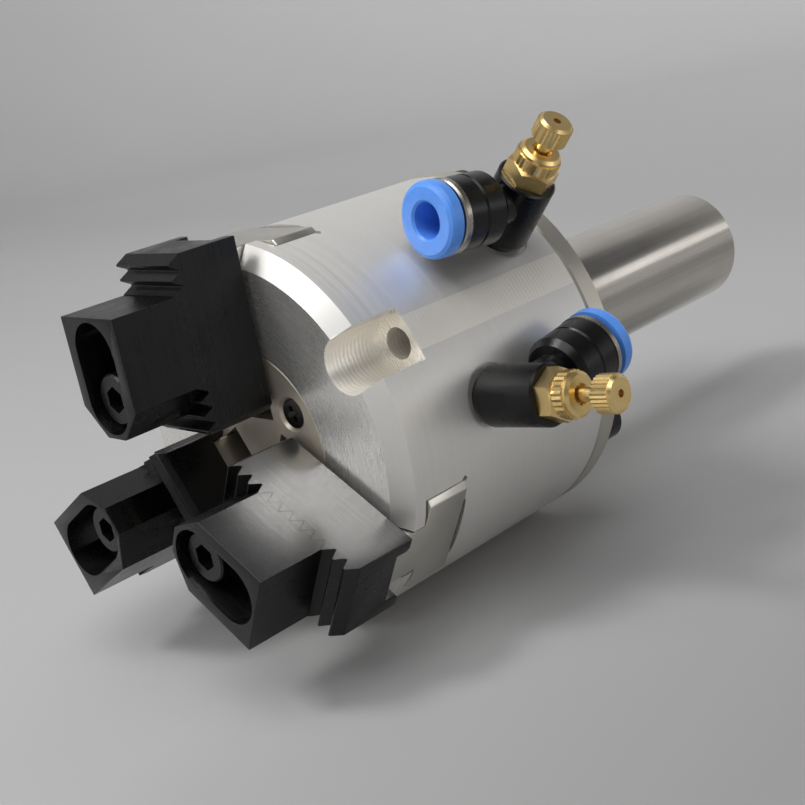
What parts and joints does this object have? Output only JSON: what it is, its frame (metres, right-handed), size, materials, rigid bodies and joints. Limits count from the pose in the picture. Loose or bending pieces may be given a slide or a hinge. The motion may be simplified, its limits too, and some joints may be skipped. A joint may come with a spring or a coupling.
{
  "type": "three jaw centric gripper",
  "caption": "Round pneumatic gripper on a straight shank, with T-guided jaws, serrated base and top jaws, and elbow speed controllers.",
  "frame": {"origin": "centre of the rear cover's back face, where the shank leaves it", "axes": "+X along the gripper axis from the shank to the jaws, +Z toward jaw 1"},
  "size_m": [0.1617, 0.0974, 0.0811],
  "materials": {
    "body": "satin machined",
    "cover": "fine turned",
    "disc": "fine turned",
    "shank": "ground",
    "bright_steel": "turned",
    "guide_steel": "ground",
    "black_steel": "black oxide",
    "black_screw": "black oxide",
    "wedge_steel": "ground",
    "piston": "turned",
    "seal": "matt",
    "brass": "turned",
    "washer": "matt",
    "elbow": "semi-gloss",
    "port_ring": "plated",
    "release": "moulded"
  },
  "bodies": {
    "body": {"body_housing": "body", "rear_cover": "cover", "shank": "shank", "cover_disc": "disc", "cover_screws": "bright_steel", "rear_cover_screws": "black_screw", "rod_seal": "seal", "valve_core_1": "brass", "valve_core_2": "brass", "seat_washer_1": "washer", "seat_washer_2": "washer"},
    "drive": {"wedge_piston": "wedge_steel", "piston": "piston", "piston_screw": "black_screw", "piston_seal": "seal"},
    "jaw_1": {"master_jaw_1": "guide_steel", "base_jaw_1": "black_steel", "base_screw_1": "black_screw", "top_jaw_1": "black_steel", "top_screw_1": "black_screw"},
    "jaw_2": {"master_jaw_2": "guide_steel", "base_jaw_2": "black_steel", "base_screw_2": "black_screw", "top_jaw_2": "black_steel", "top_screw_2": "black_screw"},
    "jaw_3": {"master_jaw_3": "guide_steel", "base_jaw_3": "black_steel", "base_screw_3": "black_screw", "top_jaw_3": "black_steel", "top_screw_3": "black_screw"},
    "port_1": {"elbow_1": "elbow", "port_ring_1": "port_ring", "grip_ring_1": "bright_steel", "hose_seal_1": "seal"},
    "release_1": {"collet_1": "release"},
    "nut_1": {"lock_nut_1": "brass"},
    "stem_1": {"needle_1": "brass"},
    "grip_1": {"knob_1": "brass"},
    "port_2": {"elbow_2": "elbow", "port_ring_2": "port_ring", "grip_ring_2": "bright_steel", "hose_seal_2": "seal"},
    "release_2": {"collet_2": "release"},
    "nut_2": {"lock_nut_2": "brass"},
    "stem_2": {"needle_2": "brass"},
    "grip_2": {"knob_2": "brass"}
  },
  "joints": [
    {"name": "piston_slide", "type": "slide", "parent": "body", "child": "drive", "axis": [1, 0, 0], "range_m": [0, 0.006]},
    {"name": "jaw_1_slide", "type": "slide", "parent": "body", "child": "jaw_1", "axis": [0, 0, -1], "range_m": [0, 0.003]},
    {"name": "jaw_2_slide", "type": "slide", "parent": "body", "child": "jaw_2", "axis": [0, 0.866, 0.5], "range_m": [0, 0.003]},
    {"name": "jaw_3_slide", "type": "slide", "parent": "body", "child": "jaw_3", "axis": [0, -0.866, 0.5], "range_m": [0, 0.003]},
    {"name": "elbow_1_swivel", "type": "hinge", "parent": "body", "child": "port_1", "pos_m": [0.0135, 0.02905, 0.0317], "axis": [0, 0.6756, 0.7373], "range_deg": [-90, 25]},
    {"name": "release_1_press", "type": "slide", "parent": "port_1", "child": "release_1", "axis": [-0.9954, 0.0707, -0.0648], "range_m": [0, 0.0006], "stiffness_N_per_m": 300},
    {"name": "lock_nut_1_turn", "type": "hinge", "parent": "body", "child": "nut_1", "pos_m": [0.0135, 0.03513, 0.03834], "axis": [0, 0.6756, 0.7373], "range_deg": [0, 120]},
    {"name": "needle_1_feed", "type": "slide", "parent": "body", "child": "stem_1", "axis": [0, -0.6756, -0.7373], "range_m": [0, 0.0015]},
    {"name": "knob_1_turn", "type": "hinge", "parent": "stem_1", "child": "grip_1", "pos_m": [0.0135, 0.04054, 0.04424], "axis": [0, -0.6756, -0.7373], "range_deg": [0, 1081]},
    {"name": "elbow_2_swivel", "type": "hinge", "parent": "body", "child": "port_2", "pos_m": [0.0337, 0.0428, 0.00412], "axis": [0, 0.9954, 0.0958], "range_deg": [-90, 25]},
    {"name": "release_2_press", "type": "slide", "parent": "port_2", "child": "release_2", "axis": [0.9925, 0.0117, -0.1213], "range_m": [0, 0.0006], "stiffness_N_per_m": 300},
    {"name": "lock_nut_2_turn", "type": "hinge", "parent": "body", "child": "nut_2", "pos_m": [0.0337, 0.05176, 0.00498], "axis": [0, 0.9954, 0.0958], "range_deg": [0, 120]},
    {"name": "needle_2_feed", "type": "slide", "parent": "body", "child": "stem_2", "axis": [0, -0.9954, -0.0958], "range_m": [0, 0.0015]},
    {"name": "knob_2_turn", "type": "hinge", "parent": "stem_2", "child": "grip_2", "pos_m": [0.0337, 0.05972, 0.00575], "axis": [0, -0.9954, -0.0958], "range_deg": [0, 1081]}
  ],
  "couplings": [
    {"joint": "jaw_1_slide", "follows": "piston_slide", "ratio": 0.5},
    {"joint": "jaw_2_slide", "follows": "piston_slide", "ratio": 0.5},
    {"joint": "jaw_3_slide", "follows": "piston_slide", "ratio": 0.5},
    {"joint": "knob_1_turn", "follows": "needle_1_feed", "rad_per_m": 12566},
    {"joint": "knob_2_turn", "follows": "needle_2_feed", "rad_per_m": 12566}
  ]
}
